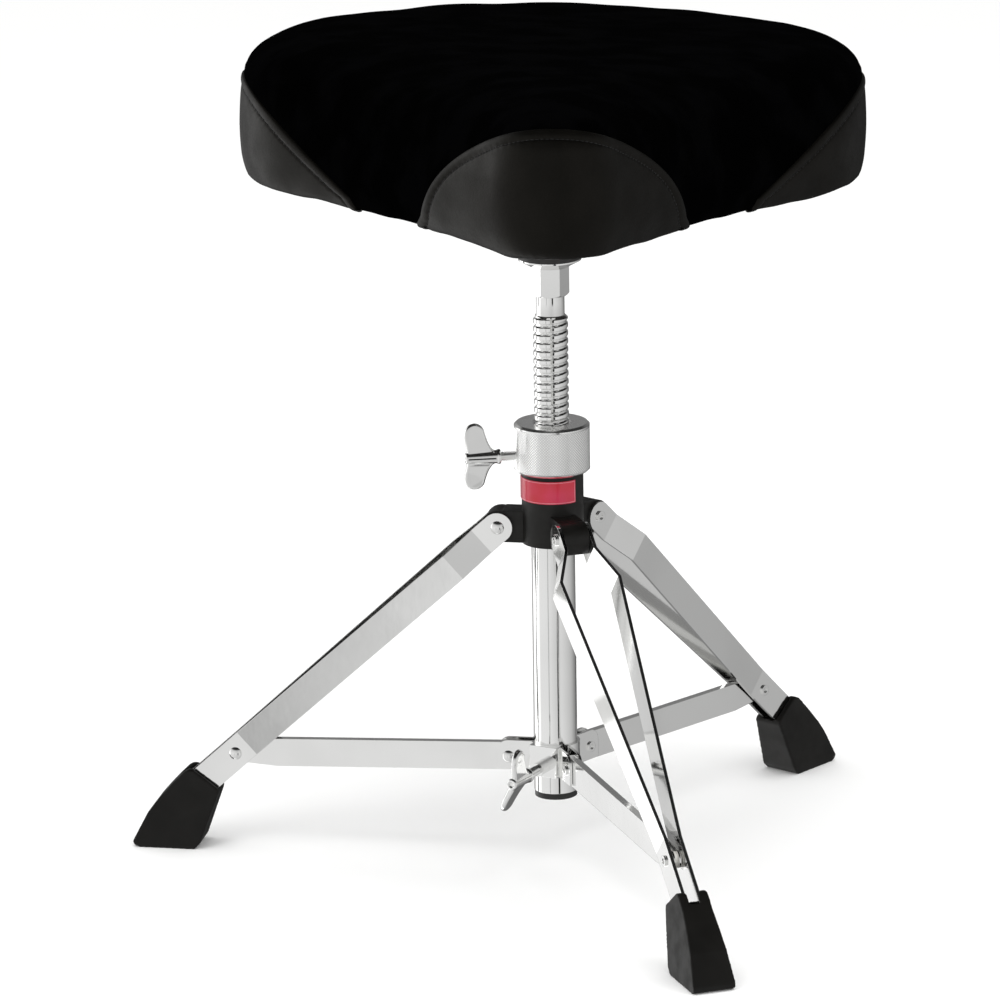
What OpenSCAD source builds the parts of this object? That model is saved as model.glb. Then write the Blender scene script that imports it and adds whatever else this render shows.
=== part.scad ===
// Drum throne: a saddle seat on a threaded rod, carried by a double-braced folding tripod.
// Millimetres, +Z up. The origin is on the floor under the centre tube, and the nose points to -Y.

/* [Centre tube] */
// Outer diameter of the centre tube
tube_d = 31.75; // [31:0.05:32]
// Wall thickness of the centre tube
tube_wall = 1.6; // [1.4:0.1:1.8]
// Height of the tube's lower rim above the floor
tube_bottom_z = 55; // [53:0.5:58]

/* [Leg bracket] */
// Outer diameter of the black leg bracket
bracket_d = 45; // [43:0.5:47]
// Height of the bracket's lower face
bracket_bottom_z = 243; // [241:0.5:244]
// Height of the bracket's upper face, where the nut bush sits
bracket_top_z = 295.5; // [293:0.5:297]
// Width of each lug between its two leg strips
lug_w = 19; // [18:0.1:19.4]
// Distance of each leg pivot from the tube's axis
leg_pivot_r = 38.9; // [38:0.1:40]
// Height of the leg pivots
leg_pivot_z = 254.8; // [254:0.1:256]

/* [Legs] */
// Direction of the right leg, seen from above; the others follow every 120 degrees
first_leg_azimuth = 50; // [45:1:55]
// Distance of each stay pivot from the tube's axis
foot_pivot_r = 238.9; // [236:0.1:240]
// Height of the stay pivots on the legs
foot_pivot_z = 73.2; // [72:0.1:75]
// Width of the flat leg strips
strip_w = 22; // [20:0.5:23]
// Thickness of the leg strips
strip_t = 2.5; // [2:0.1:2.6]

/* [Stays and clamp collar] */
// Height of the flat stays
stay_h = 21; // [19:0.5:22]
// Width of the folded stays
stay_w = 5.5; // [5:0.1:5.6]
// Distance of the collar's ear pivots from the tube's axis
ear_pivot_r = 34.3; // [34:0.1:35]
// Height of the collar's ear pivots
ear_pivot_z = 79; // [78:0.1:80]
// Direction of the clamp's wing bolt
clamp_azimuth = 242; // [238:1:246]

/* [Height adjustment] */
// Outer diameter of the threaded rod
rod_d = 25.4; // [25:0.1:25.6]
// Pitch of the rod's thread
rod_pitch = 6; // [6:1:6]
// Height of the rod's lower end, inside the tube
rod_bottom_z = 175; // [165:1:180]
// Height where the thread ends under the smooth neck
thread_top_z = 411.7; // [408:0.1:414]
// Outer diameter of the knurled nut
nut_d = 55; // [52:0.5:58]
// Height of the knurled nut's upper face
nut_top_z = 332.6; // [330:0.1:335]
// Direction of the nut's wing bolt
lock_azimuth = 190; // [180:1:200]

/* [Seat] */
// Half of the seat's greatest width
seat_half_w = 228.5; // [222:0.5:234]
// Distance of the nose from the tube's axis
nose_reach = 196; // [190:1:201]
// Distance of the back edge from the tube's axis
back_reach = 250; // [245:1:255]
// Height of the seat's underside
seat_bottom_z = 497; // [496:0.5:499]
// Height of the crown
seat_top_z = 600; // [596:0.5:604]

/* [Hidden] */
LEGS = [
    ["right", first_leg_azimuth],
    ["left", first_leg_azimuth + 120],
    ["front", first_leg_azimuth + 240]
];
LEG_NODES = ["strip_a", "strip_b", "pivot_rivet", "stay_rivets", "foot", "stay", "stay_bush", "ear_rivet"];

$fn = 64;
fit = 0.05;           // radial clearance of a running fit
air = 0.3;            // gap between faces that move past each other
seated = 0.03;        // radial gap round a pin that is fixed in its hole
tube_r = tube_d / 2;
tube_bore_r = tube_r - tube_wall;
bracket_r = bracket_d / 2;
rod_r = rod_d / 2;
nut_r = nut_d / 2;

// Leg strip: distances along the leg from its pivot, and the offsets of the strips' inner faces
leg_len = norm([foot_pivot_r - leg_pivot_r, leg_pivot_z - foot_pivot_z]);
leg_tilt = atan2(leg_pivot_z - foot_pivot_z, foot_pivot_r - leg_pivot_r);
strip_end = leg_len + 52;
first_crease = 16;
second_crease = 42;
third_crease = leg_len - 12;
lug_offset = lug_w / 2 + air;
wide_offset = 21;
narrow_offset = 4.3;
pivot_rivet_r = 4;
stay_rivet_r = 3;

// Stay: from the collar's ear to the leg
stay_len = norm([foot_pivot_r - ear_pivot_r, ear_pivot_z - foot_pivot_z]);
stay_tilt = atan2(ear_pivot_z - foot_pivot_z, foot_pivot_r - ear_pivot_r);
stay_wall = 1.25;
stay_tip_r = 7.5;
stay_bush_r = 5.8;
stay_bush_len = 2 * (narrow_offset - air);

// Foot: its profile is drawn outwards along the leg's direction and upwards
foot_inner_r = 266;
foot_outer_r = 317;
foot_half_w = 15.8;
foot_top_half_w = 11.2;
foot_round = 4;

// Collar
collar_r = tube_r + 0.06;
clip_t = 2;
clip_low_z = 69;
clip_high_z = 92;
ear_reach = 43;
ear_gap = stay_w / 2 + air;
clamp_face = 19.9;
clamp_boss_end = 30;
clamp_z = 77;

// Wing bolts (M6): places are measured outwards from the tube's axis
bolt_r = 3;
lock_z = 308.7;
lock_hub_start = 38;
clamp_hub_start = 43;
wing_len = 26;
wing_pitch = 1;

// Rod, bush and socket
bush_t = 1.2;
bush_depth = 26;
neck_r = 10.3;
groove_w = 2.4;
groove_depth = 1.3;
thread_root_r = rod_r - 1.3;
rod_top_z = 470;
socket_bottom_z = 427;
socket_top_z = 472;
socket_across_flats = 24;
flange_low_z = 448;
flange_high_z = 454.5;
flange_r = 22.8;

// Seat build-up: skins lie outside one another, measured inwards from the seat's outer surface
seat_widest_y = 90;
nose_round = 49.5;
corner_round = 111;
flank_round = 800;
panel_t = 1.2;
cover_t = 1.6;
skin_gap = 0.1;
board_inset = 14;
board_t = 12;
board_z = seat_bottom_z + 3;
plate_rim_r = 76;
plate_bolt_circle = 124;
plate_t = 2.5;
bolt_base_z = 20;
t_nut_flange = 1.2;
plate_top_z = seat_bottom_z - 1.2;

// ---------------------------------------------------------------- helpers

// A ring about the vertical axis
module ring(outer, inner, low, high) {
    translate([0, 0, low]) difference() {
        cylinder(r = outer, h = high - low);
        translate([0, 0, -1]) cylinder(r = inner, h = high - low + 2);
    }
}

// A shaft along Y, between two places on that axis
module cross_shaft(r, from, to) {
    translate([0, to, 0]) rotate([90, 0, 0]) cylinder(r = r, h = to - from);
}

// A shaft along X, between two places on that axis
module radial_shaft(r, from, to) {
    translate([from, 0, 0]) rotate([0, 90, 0]) cylinder(r = r, h = to - from);
}

// A flat rectangle with round corners, drawn exactly
module rounded_rect(x0, x1, y0, y1, r) {
    translate([x0 + r, y0]) square([x1 - x0 - 2 * r, y1 - y0]);
    translate([x0, y0 + r]) square([x1 - x0, y1 - y0 - 2 * r]);
    for (x = [x0 + r, x1 - r], y = [y0 + r, y1 - r]) translate([x, y]) circle(r);
}

// The frame of one leg: X runs down the leg from its pivot, Y across it, Z up and outwards
module leg_frame(azimuth) {
    rotate([0, 0, azimuth]) translate([leg_pivot_r, 0, leg_pivot_z]) rotate([0, leg_tilt, 0]) children();
}

// The frame of one stay: X runs outwards along the stay from the collar's ear
module stay_frame(azimuth) {
    rotate([0, 0, azimuth]) translate([ear_pivot_r, 0, ear_pivot_z]) rotate([0, stay_tilt, 0]) children();
}

// A low dome on the end of a rivet, standing out along +Y
module rivet_dome(r, rise) {
    ball = (r * r + rise * rise) / (2 * rise);
    rotate([-90, 0, 0]) intersection() {
        translate([0, 0, rise - ball]) sphere(ball);
        cylinder(r = r + 1, h = rise);
    }
}

// The rolled end of a tubular rivet, standing out along -Y
module rivet_roll(r, rise) {
    rotate([90, 0, 0]) difference() {
        cylinder(r = r, h = rise);
        translate([0, 0, 0.2]) cylinder(r = r * 0.5, h = rise);
    }
}

// ---------------------------------------------------------------- centre tube and bracket

module main_tube() {
    color("silver") difference() {
        ring(tube_r, tube_bore_r, tube_bottom_z, bracket_top_z - 1);
        translate([0, tube_r, bracket_screw_z()]) rotate([90, 0, 0])
            cylinder(r = bolt_r + seated, h = 2 * tube_wall + 1, center = true);
    }
}

function bracket_screw_z() = bracket_top_z - 33;

module tube_plug() {
    color("black") {
        ring(tube_r - 0.4, 6, tube_bottom_z - 4.5, tube_bottom_z);
        ring(tube_bore_r, tube_bore_r - 2, tube_bottom_z, tube_bottom_z + 14);
    }
}

module leg_bracket() {
    lug_r = 12;
    lug_top = 12.2;
    color("dimgray") difference() {
        union() {
            translate([0, 0, bracket_bottom_z])
                cylinder(r = bracket_r, h = bracket_top_z - bracket_bottom_z);
            for (leg = LEGS) rotate([0, 0, leg[1]])
                translate([leg_pivot_r, lug_w / 2, leg_pivot_z]) rotate([90, 0, 0]) linear_extrude(lug_w) {
                    circle(lug_r);
                    polygon([[18 - leg_pivot_r, 0.6 - lug_r], [0, 0.6 - lug_r], [3, lug_r - 1.5],
                             [-4, lug_top], [18 - leg_pivot_r, lug_top]]);
                }
        }
        translate([0, 0, bracket_bottom_z - 1])
            cylinder(r = tube_r, h = bracket_top_z - bracket_bottom_z + 2);
        for (leg = LEGS) rotate([0, 0, leg[1]]) translate([leg_pivot_r, 0, leg_pivot_z])
            cross_shaft(pivot_rivet_r + fit, -lug_w, lug_w);
        translate([0, bracket_r, bracket_screw_z()]) rotate([90, 0, 0])
            cylinder(r = bolt_r + seated, h = bracket_r, center = true);
    }
}

// The plate wraps the bracket's front from its left edge to a little right of the middle
module bracket_badge() {
    badge_from = 176;
    badge_to = 316;
    color("red") rotate([0, 0, badge_from]) translate([0, 0, 276.4])
        rotate_extrude(angle = badge_to - badge_from)
            translate([bracket_r + 0.1, 0]) square([0.8, 16.8]);
}

module bracket_screw() {
    color("black") translate([0, 0, bracket_screw_z()]) {
        translate([0, bracket_r - 0.2, 0]) rotate([90, 0, 0]) difference() {
            cylinder(r = bolt_r, h = bracket_r - tube_bore_r - 0.2);
            translate([0, 0, -1]) cylinder(r = 1.75, h = 4, $fn = 6);
        }
    }
}

// ---------------------------------------------------------------- nut, rod and socket

module swivel_bush() {
    color("white") {
        ring(bracket_r - 2, rod_r + fit, bracket_top_z, bracket_top_z + bush_t);
        ring(tube_bore_r - fit, rod_r + fit, bracket_top_z - bush_depth, bracket_top_z);
    }
}

module height_nut() {
    low = bracket_top_z + bush_t;
    bevel = 1.6;
    color("silver") difference() {
        rotate_extrude() polygon([
            [rod_r + fit, low + 1], [rod_r + 1.2, low], [nut_r - bevel, low], [nut_r, low + bevel],
            [nut_r, nut_top_z - bevel], [nut_r - bevel, nut_top_z],
            [rod_r + 1.2, nut_top_z], [rod_r + fit, nut_top_z - 1]
        ]);
        rotate([0, 0, lock_azimuth]) translate([0, 0, lock_z])
            radial_shaft(bolt_r + fit, rod_r - 2, nut_r + 2);
    }
}

// The wing bolt's steel screw, from its tip to deep inside the wing's hub
module bolt_shank(tip, hub_start) {
    radial_shaft(bolt_r, tip, hub_start + wing_len - 8);
}

// The cast wing: a collar, a tapering hub and two swept wings, opening outwards along X
module wing_casting(hub_start) {
    collar_len = 2.5;
    wing_t = 3;
    tip_x = 18.5;
    tip_y = 17;
    tip_r = 7.6;
    translate([hub_start, 0, 0]) difference() {
        union() {
            radial_shaft(5.5, 0, collar_len);
            translate([collar_len, 0, 0]) rotate([0, 90, 0])
                cylinder(r1 = 5, r2 = 4.3, h = wing_len - collar_len);
            for (side = [0, 180]) rotate([side, 0, 0]) translate([0, 0, -wing_t / 2])
                linear_extrude(wing_t) {
                    polygon([[collar_len + 1, 0], [6, 6], [tip_x - tip_r, tip_y],
                             [tip_x + tip_r, tip_y], [wing_len - 2, 6], [wing_len - 3, 0]]);
                    translate([tip_x, tip_y]) circle(tip_r);
                }
        }
        radial_shaft(bolt_r + fit, -1, wing_len - 7.5);
        radial_shaft(2.2, wing_len - 2, wing_len + 1);
    }
}

module lock_frame() { rotate([0, 0, lock_azimuth]) translate([0, 0, lock_z]) children(); }
module clamp_frame() { rotate([0, 0, clamp_azimuth]) translate([0, 0, clamp_z]) children(); }

module lock_screw() { color("silver") lock_frame() bolt_shank(rod_r + air, lock_hub_start); }
module lock_wing() { color("silver") lock_frame() rotate([90, 0, 0]) wing_casting(lock_hub_start); }

// Rounded thread crests, one after another down the rod
function thread_profile() = [
    for (z = [thread_top_z : -rod_pitch : rod_bottom_z + rod_pitch])
        for (p = [[thread_root_r, z], [rod_r - 0.3, z - 1.2], [rod_r, z - 2], [rod_r, z - 3],
                  [rod_r - 0.3, z - 3.8], [thread_root_r, z - 5]]) p
];

module threaded_rod() {
    color("silver") difference() {
        rotate_extrude() polygon(concat(
            [[0, rod_top_z], [neck_r, rod_top_z], [neck_r, thread_top_z]],
            thread_profile(),
            [[thread_root_r, rod_bottom_z + 1], [thread_root_r - 1, rod_bottom_z], [0, rod_bottom_z]]
        ));
        for (turn = [0 : 90 : 270]) rotate([0, 0, turn + 2])
            translate([rod_r - groove_depth - 1.3, -groove_w / 2, rod_bottom_z - 1])
                cube([6, groove_w, socket_bottom_z - rod_bottom_z + 1]);
    }
}

// The hexagon is bevelled at its lower end, and carries a dished flange
module seat_socket() {
    flat = socket_across_flats / 2;
    length = socket_top_z - socket_bottom_z;
    color("silver") {
        difference() {
            union() {
                intersection() {
                    translate([0, 0, socket_bottom_z])
                        cylinder(r = flat / cos(30), h = length, $fn = 6);
                    translate([0, 0, socket_bottom_z])
                        cylinder(r1 = flat + 0.1, r2 = 62, h = length);
                }
                rotate_extrude() polygon([
                    [11, flange_low_z], [13.6, flange_low_z], [16, flange_low_z + 1.6],
                    [flange_r, flange_high_z - 1.2], [flange_r, flange_high_z], [11, flange_high_z]
                ]);
            }
            translate([0, 0, socket_bottom_z - 1])
                cylinder(r = neck_r + seated, h = rod_top_z - socket_bottom_z + 1);
        }
    }
}

// ---------------------------------------------------------------- seat

function arc(centre, r, from, to, steps) = [
    for (i = [0 : steps])
        let (a = from + (to - from) * i / steps)
            centre + r * [cos(a), sin(a)]
];

// Circle centres of the seat's plan: nose, corner, back, and the hollow flank that touches nose and corner
nose_c = [0, nose_round - nose_reach];
corner_c = [seat_half_w - corner_round, seat_widest_y];
back_span = back_reach - corner_c[1] - corner_round;
back_round = corner_round + (corner_c[0] * corner_c[0] + back_span * back_span) / (2 * back_span);
back_c = [0, back_reach - back_round];
flank_d = norm(corner_c - nose_c);
flank_a = flank_round + nose_round;
flank_b = flank_round + corner_round;
flank_turn = acos((flank_a * flank_a + flank_d * flank_d - flank_b * flank_b) / (2 * flank_a * flank_d));
flank_dir = atan2(corner_c[1] - nose_c[1], corner_c[0] - nose_c[0]) - flank_turn;
flank_c = nose_c + flank_a * [cos(flank_dir), sin(flank_dir)];
corner_dir = atan2(flank_c[1] - corner_c[1], flank_c[0] - corner_c[0]);
back_dir = atan2(corner_c[1] - back_c[1], corner_c[0] - back_c[0]);

// The right half of the outline, from the nose to the middle of the back
function half_outline(inset) = concat(
    arc(nose_c, nose_round - inset, -90, flank_dir, 6),
    arc(flank_c, flank_round + inset, flank_dir + 180, corner_dir + 180, 8),
    arc(corner_c, corner_round - inset, corner_dir, back_dir, 10),
    arc(back_c, back_round - inset, back_dir, 90, 7)
);
function mirrored(points) = [for (i = [len(points) - 2 : -1 : 1]) [-points[i][0], points[i][1]]];
function tidy(points) = [for (i = [0 : len(points) - 1])
    if (i == 0 || norm(points[i] - points[i - 1]) > 0.01) points[i]];
function outline(inset) = let (half = tidy(half_outline(inset))) concat(half, mirrored(half));

// Inset of the seat's wall at a number of heights, from the underside to the crown
wall = [[9, seat_bottom_z], [4, seat_bottom_z + 4], [1.5, seat_bottom_z + 18], [0, seat_bottom_z + 40],
        [0.5, seat_top_z - 28], [4, seat_top_z - 17], [11, seat_top_z - 9], [22, seat_top_z - 4.5],
        [38, seat_top_z - 2]];

// A closed body inside the seat's surface, everywhere the given depth below it
module seat_body(depth) {
    seat_h = seat_top_z - seat_bottom_z;
    rings = [for (w = wall) [for (p = outline(w[0] + depth))
        [p[0], p[1], w[1] + depth * (1 - 2 * (w[1] - seat_bottom_z) / seat_h)]]];
    n = len(rings[0]);
    m = len(rings);
    points = concat([for (r = rings) each r],
        [[0, 35, seat_bottom_z + depth], [0, 35, seat_top_z - depth]]);
    polyhedron(points, concat(
        [for (k = [0 : m - 2], i = [0 : n - 1])
            [k * n + i, (k + 1) * n + i, (k + 1) * n + (i + 1) % n, k * n + (i + 1) % n]],
        [for (i = [0 : n - 1]) [i, (i + 1) % n, m * n]],
        [for (i = [0 : n - 1]) [(m - 1) * n + (i + 1) % n, (m - 1) * n + i, m * n + 1]]
    ), convexity = 6);
}

module seat_slab(inset, low, high) {
    translate([0, 0, low]) linear_extrude(high - low) polygon(outline(inset));
}

// The arch of the nose panel, drawn square to a line that falls 15 degrees towards the nose
module nose_arch() {
    half_w = 93.5;
    arch_top = 64;
    arch_base = 456.3;
    lean = 15;
    power = 0.93;
    rotate([90 - lean, 0, 0]) linear_extrude(400) translate([0, arch_base])
        polygon(concat(
            [[-half_w, -120]],
            [for (a = [180 : -6 : 0])
                [half_w * sign(cos(a)) * pow(abs(cos(a)), power), arch_top * pow(sin(a), power)]],
            [[half_w, -120]]
        ));
}

module panel_skin() {
    difference() {
        seat_body(0);
        seat_body(panel_t);
        seat_slab(34, seat_bottom_z - 5, seat_bottom_z + 10);
    }
}

module nose_panel() {
    color("#26221f") intersection() { panel_skin(); nose_arch(); }
}

// The seam of a side panel lies in a plane that leans outwards at 45 degrees
module side_panel(side) {
    seam_x = 136.5;
    intersection() {
        panel_skin();
        mirror([side < 0 ? 1 : 0, 0, 0]) translate([0, back_reach + 20, 0]) rotate([90, 0, 0])
            linear_extrude(500) polygon([
                [seam_x - 10, seat_bottom_z - 10], [seam_x + 110, seat_bottom_z + 110],
                [seam_x + 300, seat_bottom_z + 110], [seam_x + 300, seat_bottom_z - 10]
            ]);
    }
}

module right_panel() { color("#26221f") side_panel(1); }
module left_panel() { color("#26221f") side_panel(-1); }

module seat_cover() {
    color("#111111") difference() {
        seat_body(panel_t + skin_gap);
        seat_body(panel_t + skin_gap + cover_t);
        seat_slab(34, seat_bottom_z - 5, seat_bottom_z + 10);
    }
}

module seat_foam() {
    color("khaki") difference() {
        seat_body(panel_t + cover_t + 2 * skin_gap);
        seat_slab(board_inset - 0.1, seat_bottom_z - 5, board_z + board_t);
    }
}

// Places its children on the plate's four screws, a fixed way below the plate's upper face
module bolt_circle() {
    for (turn = [45 : 90 : 315]) rotate([0, 0, turn])
        translate([plate_bolt_circle / 2, 0, plate_top_z - bolt_base_z]) children();
}

module seat_board() {
    color("burlywood") difference() {
        seat_slab(board_inset, board_z, board_z + board_t - 0.1);
        bolt_circle() cylinder(r = 4.2, h = 100);
        bolt_circle() translate([0, 0, bolt_base_z + board_z + board_t - 0.2 - t_nut_flange - plate_top_z])
            cylinder(r = 9.6, h = 20);
    }
}

module dust_cover() {
    color("black") difference() {
        seat_slab(20, plate_top_z + 0.1, seat_bottom_z - 0.1);
        bolt_circle() cylinder(r = 4.2, h = 100);
    }
}

// A pressed steel bell: a flat rim against the board, a shoulder, and a cone down to the socket
module seat_plate() {
    color("black") difference() {
        rotate_extrude() polygon([
            [flange_r, flange_high_z], [flange_r + 1.2, flange_high_z + 8], [34, flange_high_z + 26],
            [52, plate_top_z - plate_t], [plate_rim_r, plate_top_z - plate_t], [plate_rim_r, plate_top_z],
            [51, plate_top_z], [32, flange_high_z + 27], [flange_r - 1.2, flange_high_z + 9],
            [14.4, flange_high_z + 2.2], [14.4, flange_high_z]
        ]);
        bolt_circle() cylinder(r = 3.1, h = 100);
    }
}

// Pan-head screws through the plate into the T-nuts
module plate_screws() {
    color("silver") bolt_circle() {
        shank_low = bolt_base_z - plate_t;
        translate([0, 0, shank_low - 2.6]) cylinder(r1 = 4.6, r2 = 5.4, h = 2.6);
        translate([0, 0, shank_low]) cylinder(r = 2.9, h = plate_t + 14);
    }
}

module t_nuts() {
    color("silver") bolt_circle() {
        board_top = bolt_base_z + board_z + board_t - 0.1 - plate_top_z;
        ring(4.1, 3, board_top - 9, board_top);
        ring(9.5, 3, board_top - t_nut_flange, board_top);
    }
}

// ---------------------------------------------------------------- legs

// Side A is the counter-clockwise strip, seen from above, and side B the clockwise one
module leg_strip(side) {
    inner = [[-strip_w, lug_offset], [first_crease, lug_offset], [second_crease, wide_offset],
             [third_crease, narrow_offset], [strip_end, narrow_offset]];
    outer = [for (i = [len(inner) - 1 : -1 : 0]) inner[i] + [0, strip_t]];
    mirror([0, side < 0 ? 1 : 0, 0]) difference() {
        intersection() {
            translate([0, 0, -strip_w / 2]) linear_extrude(strip_w) polygon(concat(inner, outer));
            rotate([90, 0, 0]) translate([0, 0, -40]) linear_extrude(40) {
                circle(strip_w / 2);
                translate([0, -strip_w / 2]) square([strip_end / 2, strip_w]);
                rounded_rect(50, strip_end, -strip_w / 2, strip_w / 2, 3);
            }
        }
        cross_shaft(pivot_rivet_r + seated, 0, 40);
        translate([leg_len, 0, 0]) cross_shaft(stay_rivet_r + seated, 0, 40);
    }
}

module pivot_rivet() {
    face = lug_offset + strip_t;
    cross_shaft(pivot_rivet_r, -face, face);
    translate([0, face, 0]) rivet_dome(5, 2.2);
    translate([0, -face, 0]) rivet_roll(4.3, 1.4);
}

// Two short rivets, one in each strip, which leave the gap between the strips free
module stay_rivets() {
    face = narrow_offset + strip_t;
    translate([leg_len, 0, 0]) {
        cross_shaft(stay_rivet_r, narrow_offset, face);
        translate([0, face, 0]) rivet_dome(4.8, 2);
        cross_shaft(stay_rivet_r, -face, -narrow_offset);
        translate([0, -face, 0]) rivet_roll(4, 1.3);
    }
}

// A rubber boot with a flat sole, a bulging outer face and a pocket for the two strips
module foot_profile() {
    polygon([
        [foot_inner_r + foot_round, 0], [foot_outer_r - 4.5, 0], [foot_outer_r - 1.2, 1.6],
        [foot_outer_r - 0.4, 4.6], [305.2, 26.5], [297.6, 36.6], [290.2, 45.2], [283.2, 52.6],
        [277, 58.6], [273.5, 60.2], [270.5, 59.8], [252.3, 46.2], [251.6, 43.4],
        [foot_inner_r, foot_round]
    ]);
}

module foot() {
    difference() {
        intersection() {
            translate([0, foot_half_w, 0]) rotate([90, 0, 0])
                linear_extrude(2 * foot_half_w) foot_profile();
            rotate([90, 0, 90]) linear_extrude(foot_outer_r + 10) polygon([
                [-foot_half_w, -1], [-foot_half_w, 6], [-foot_top_half_w, 50], [-foot_top_half_w, 70],
                [foot_top_half_w, 70], [foot_top_half_w, 50], [foot_half_w, 6], [foot_half_w, -1]
            ]);
        }
        translate([leg_pivot_r, 0, leg_pivot_z]) rotate([0, leg_tilt, 0]) {
            half = narrow_offset + strip_t + 0.05;
            translate([leg_len, -half, -strip_w / 2 - 0.05])
                cube([strip_end - leg_len + 0.1, 2 * half, strip_w + 0.1]);
            // room for the stay's end to swing out between the strips
            translate([leg_len, -narrow_offset, 0]) cube([44, 2 * narrow_offset, 40]);
        }
    }
}

// ---------------------------------------------------------------- stays

// Folded from sheet, open along its lower edge
module stay() {
    waist = 30;
    difference() {
        translate([0, stay_w / 2, 0]) rotate([90, 0, 0]) linear_extrude(stay_w) {
            circle(stay_h / 2);
            translate([0, -stay_h / 2]) square([stay_len - waist, stay_h]);
            polygon([[stay_len - waist, -stay_h / 2], [stay_len - 2, -stay_tip_r], [stay_len + 1, 0],
                     [stay_len - 2, stay_tip_r], [stay_len - waist, stay_h / 2]]);
            translate([stay_len, 0]) circle(stay_tip_r);
        }
        translate([-stay_h, -stay_w / 2 + stay_wall, -stay_h])
            cube([stay_len + 2 * stay_h, stay_w - 2 * stay_wall, stay_h * 1.5 - stay_wall]);
        cross_shaft(stay_rivet_r + fit, -10, 10);
        translate([stay_len, 0, 0]) cross_shaft(stay_bush_r, -10, 10);
    }
}

module stay_bush() {
    translate([stay_len, 0, 0]) difference() {
        cross_shaft(stay_bush_r, -stay_bush_len / 2, stay_bush_len / 2);
        cross_shaft(stay_rivet_r + 0.1, -10, 10);
    }
}

// ---------------------------------------------------------------- clamp collar

// One ear of a clip, beside the stay's plane
module ear() {
    corner = 8.7;
    base = clip_low_z + 0.4;
    top = clip_high_z - 0.4;
    translate([0, clip_t / 2, 0]) rotate([90, 0, 0]) linear_extrude(clip_t) {
        translate([collar_r + 0.5, base]) square([ear_reach - corner - collar_r - 0.5, top - base]);
        translate([ear_pivot_r - 1, base]) square([ear_reach - ear_pivot_r + 1, top - base - corner]);
        translate([ear_reach - corner, top - corner]) circle(corner);
    }
}

// One of three pressed clips: it wraps the tube between two legs and ends in two ears.
// The children are added to its plan.
module clip(from, to) {
    span = to - from;
    edge = ear_gap + clip_t / 2;
    reach = 60;
    apex = edge / sin(span / 2);
    difference() {
        union() {
            translate([0, 0, clip_low_z]) linear_extrude(clip_high_z - clip_low_z) difference() {
                union() {
                    intersection() {
                        circle(collar_r + clip_t);
                        rotate(from + span / 2) polygon([
                            [apex, 0],
                            [apex + reach * cos(span / 2), reach * sin(span / 2)],
                            [2 * reach, 0],
                            [apex + reach * cos(span / 2), -reach * sin(span / 2)]
                        ]);
                    }
                    children();
                }
                circle(collar_r);
            }
            for (end = [[from, 1], [to, -1]]) rotate([0, 0, end[0]])
                translate([0, end[1] * (ear_gap + clip_t / 2), 0]) ear();
        }
        for (end = [from, to]) rotate([0, 0, end]) translate([ear_pivot_r, 0, ear_pivot_z])
            cross_shaft(stay_rivet_r + seated, -10, 10);
    }
}

module rear_clip() { color("silver") clip(LEGS[0][1], LEGS[1][1]); }
module right_clip() { color("silver") clip(LEGS[2][1] - 360, LEGS[0][1]); }

// This clip has a flat face in its middle for the wing bolt
module clamp_clip() {
    flat_w = 22;
    color("silver") difference() {
        clip(LEGS[1][1], LEGS[2][1])
            rotate(clamp_azimuth) translate([8, -flat_w / 2]) square([clamp_face - 8, flat_w]);
        clamp_frame() radial_shaft(bolt_r + fit, 5, 40);
    }
}

module clamp_boss() {
    color("silver") clamp_frame() difference() {
        radial_shaft(5.2, clamp_face, clamp_boss_end);
        radial_shaft(bolt_r + fit, clamp_face - 1, clamp_boss_end + 1);
    }
}

module clamp_screw() { color("silver") clamp_frame() bolt_shank(tube_r + air, clamp_hub_start); }
module clamp_wing() { color("silver") clamp_frame() rotate([75, 0, 0]) wing_casting(clamp_hub_start); }

module ear_rivet() {
    face = ear_gap + clip_t;
    translate([ear_pivot_r, 0, ear_pivot_z]) {
        cross_shaft(stay_rivet_r, -face, face);
        translate([0, face, 0]) rivet_dome(4.6, 1.8);
        translate([0, -face, 0]) rivet_roll(3.9, 1.2);
    }
}

// ---------------------------------------------------------------- assembly

main_tube();
tube_plug();
leg_bracket();
bracket_badge();
bracket_screw();
swivel_bush();
height_nut();
lock_screw();
lock_wing();
threaded_rod();
seat_socket();
seat_plate();
plate_screws();
t_nuts();
seat_board();
dust_cover();
seat_foam();
seat_cover();
nose_panel();
left_panel();
right_panel();
rear_clip();
clamp_clip();
right_clip();
clamp_boss();
clamp_screw();
clamp_wing();
for (leg = LEGS) {
    name = leg[0];
    turn = leg[1];
    color("silver") leg_frame(turn) leg_strip(1);
    color("silver") leg_frame(turn) leg_strip(-1);
    color("silver") leg_frame(turn) pivot_rivet();
    color("silver") leg_frame(turn) stay_rivets();
    color("black") rotate([0, 0, turn]) foot();
    color("silver") stay_frame(turn) stay();
    color("white") stay_frame(turn) stay_bush();
    color("silver") rotate([0, 0, turn]) ear_rivet();
}
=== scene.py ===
"""Drum throne: the looks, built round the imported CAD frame.

Lengths are written in millimetres and scaled to metres when a mesh is made. The seat is upholstered
by a cloth simulation, and its leatherette panels are laid on the simulated surface.
"""

import math

import bmesh
import bpy
import numpy as np
from mathutils import Matrix, Vector
from mathutils.bvhtree import BVHTree

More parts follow.
